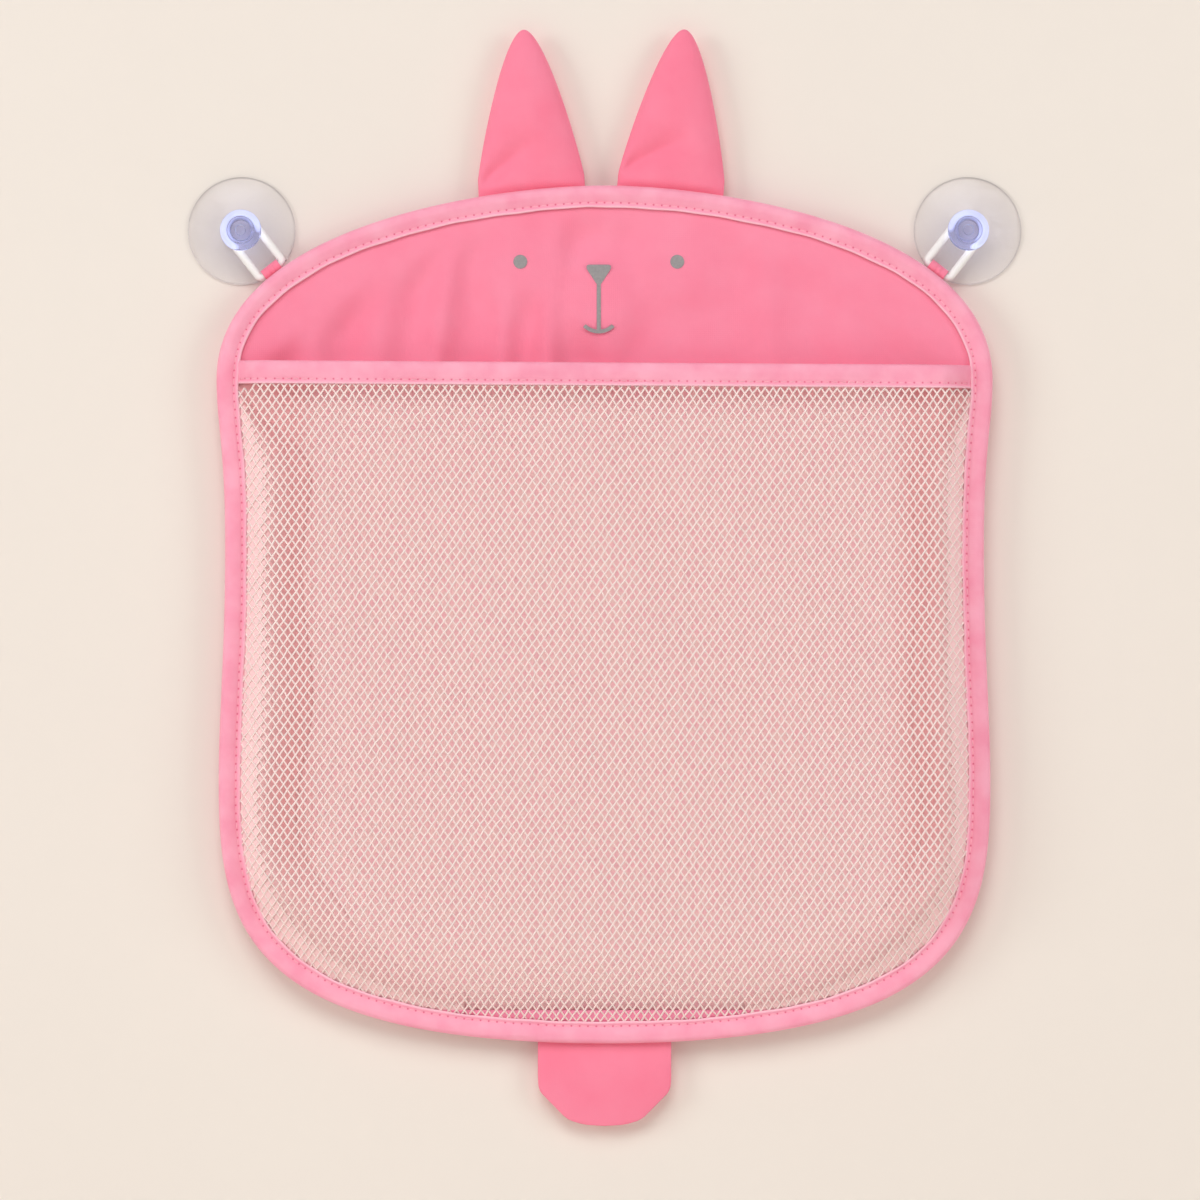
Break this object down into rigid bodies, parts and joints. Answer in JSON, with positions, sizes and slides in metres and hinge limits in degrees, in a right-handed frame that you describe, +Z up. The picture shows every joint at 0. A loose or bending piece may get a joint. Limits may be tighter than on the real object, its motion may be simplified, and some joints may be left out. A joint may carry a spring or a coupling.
{
  "type": "bath toy organizer",
  "caption": "Pink bunny-shaped cloth bag with a net pocket, padded ears, a tail and a printed face, hung on a wall by clear suction cups to store and drain bath toys.",
  "frame": {"origin": "on the wall, midway between the centres of the suction cups", "axes": "+Z up, +Y into the wall, +X to the right as seen from the front; the bag faces -Y"},
  "size_m": [0.348, 0.0308, 0.4572],
  "materials": {
    "cloth": "matte",
    "ear_cloth": "matte",
    "wadding": "matte",
    "lining": "matte",
    "net": "matte",
    "tape": "matte",
    "ring": "satin",
    "cup": "clear gloss",
    "print": "matte"
  },
  "bodies": {
    "bag": {"back_panel": "cloth", "pocket_lining": "lining", "edge_binding": "tape", "pocket_net_front": "net", "pocket_net_sides": "net", "pocket_hem": "tape", "print_eye_left": "print", "print_eye_right": "print", "print_nose_mouth": "print", "tail_root": "ear_cloth", "ear_left_root": "ear_cloth", "ear_right_root": "ear_cloth", "tab_left": "ear_cloth", "tab_right": "ear_cloth"},
    "ear_left": {"ear_left_front": "ear_cloth", "ear_left_back": "ear_cloth", "ear_left_wadding": "wadding"},
    "ear_right": {"ear_right_front": "ear_cloth", "ear_right_back": "ear_cloth", "ear_right_wadding": "wadding"},
    "tail": {"tail_front": "ear_cloth", "tail_back": "ear_cloth"},
    "ring_left": {"ring_left": "ring"},
    "ring_right": {"ring_right": "ring"},
    "cup_left": {"suction_cup_left": "cup"},
    "cup_right": {"suction_cup_right": "cup"}
  },
  "joints": [
    {"name": "ear_left_fold", "type": "hinge", "parent": "bag", "child": "ear_left", "pos_m": [-0.0306, -0.0077, 0.02189], "axis": [0.9987, 0, 0.0506], "range_deg": [-60, 90], "stiffness_Nm_per_rad": 0.01},
    {"name": "ear_right_fold", "type": "hinge", "parent": "bag", "child": "ear_right", "pos_m": [0.02789, -0.0077, 0.02217], "axis": [0.996, 0, -0.0889], "range_deg": [-60, 90], "stiffness_Nm_per_rad": 0.01},
    {"name": "tail_swing", "type": "hinge", "parent": "bag", "child": "tail", "pos_m": [0, -0.0077, -0.34285], "axis": [-1, 0, 0], "range_deg": [-60, 90]},
    {"name": "ring_left_tilt", "type": "hinge", "parent": "bag", "child": "ring_left", "pos_m": [-0.13878, -0.0077, -0.01651], "axis": [0.7902, 0, 0.6129], "range_deg": [-60, 85]},
    {"name": "ring_right_tilt", "type": "hinge", "parent": "bag", "child": "ring_right", "pos_m": [0.13878, -0.0077, -0.01651], "axis": [0.7902, 0, -0.6129], "range_deg": [-60, 85]},
    {"name": "cup_left_turn", "type": "hinge", "parent": "ring_left", "child": "cup_left", "pos_m": [-0.15159, -0.0077, 0], "axis": [0, -1, 0], "continuous": true},
    {"name": "cup_right_turn", "type": "hinge", "parent": "ring_right", "child": "cup_right", "pos_m": [0.15159, -0.0077, 0], "axis": [0, -1, 0], "continuous": true}
  ]
}
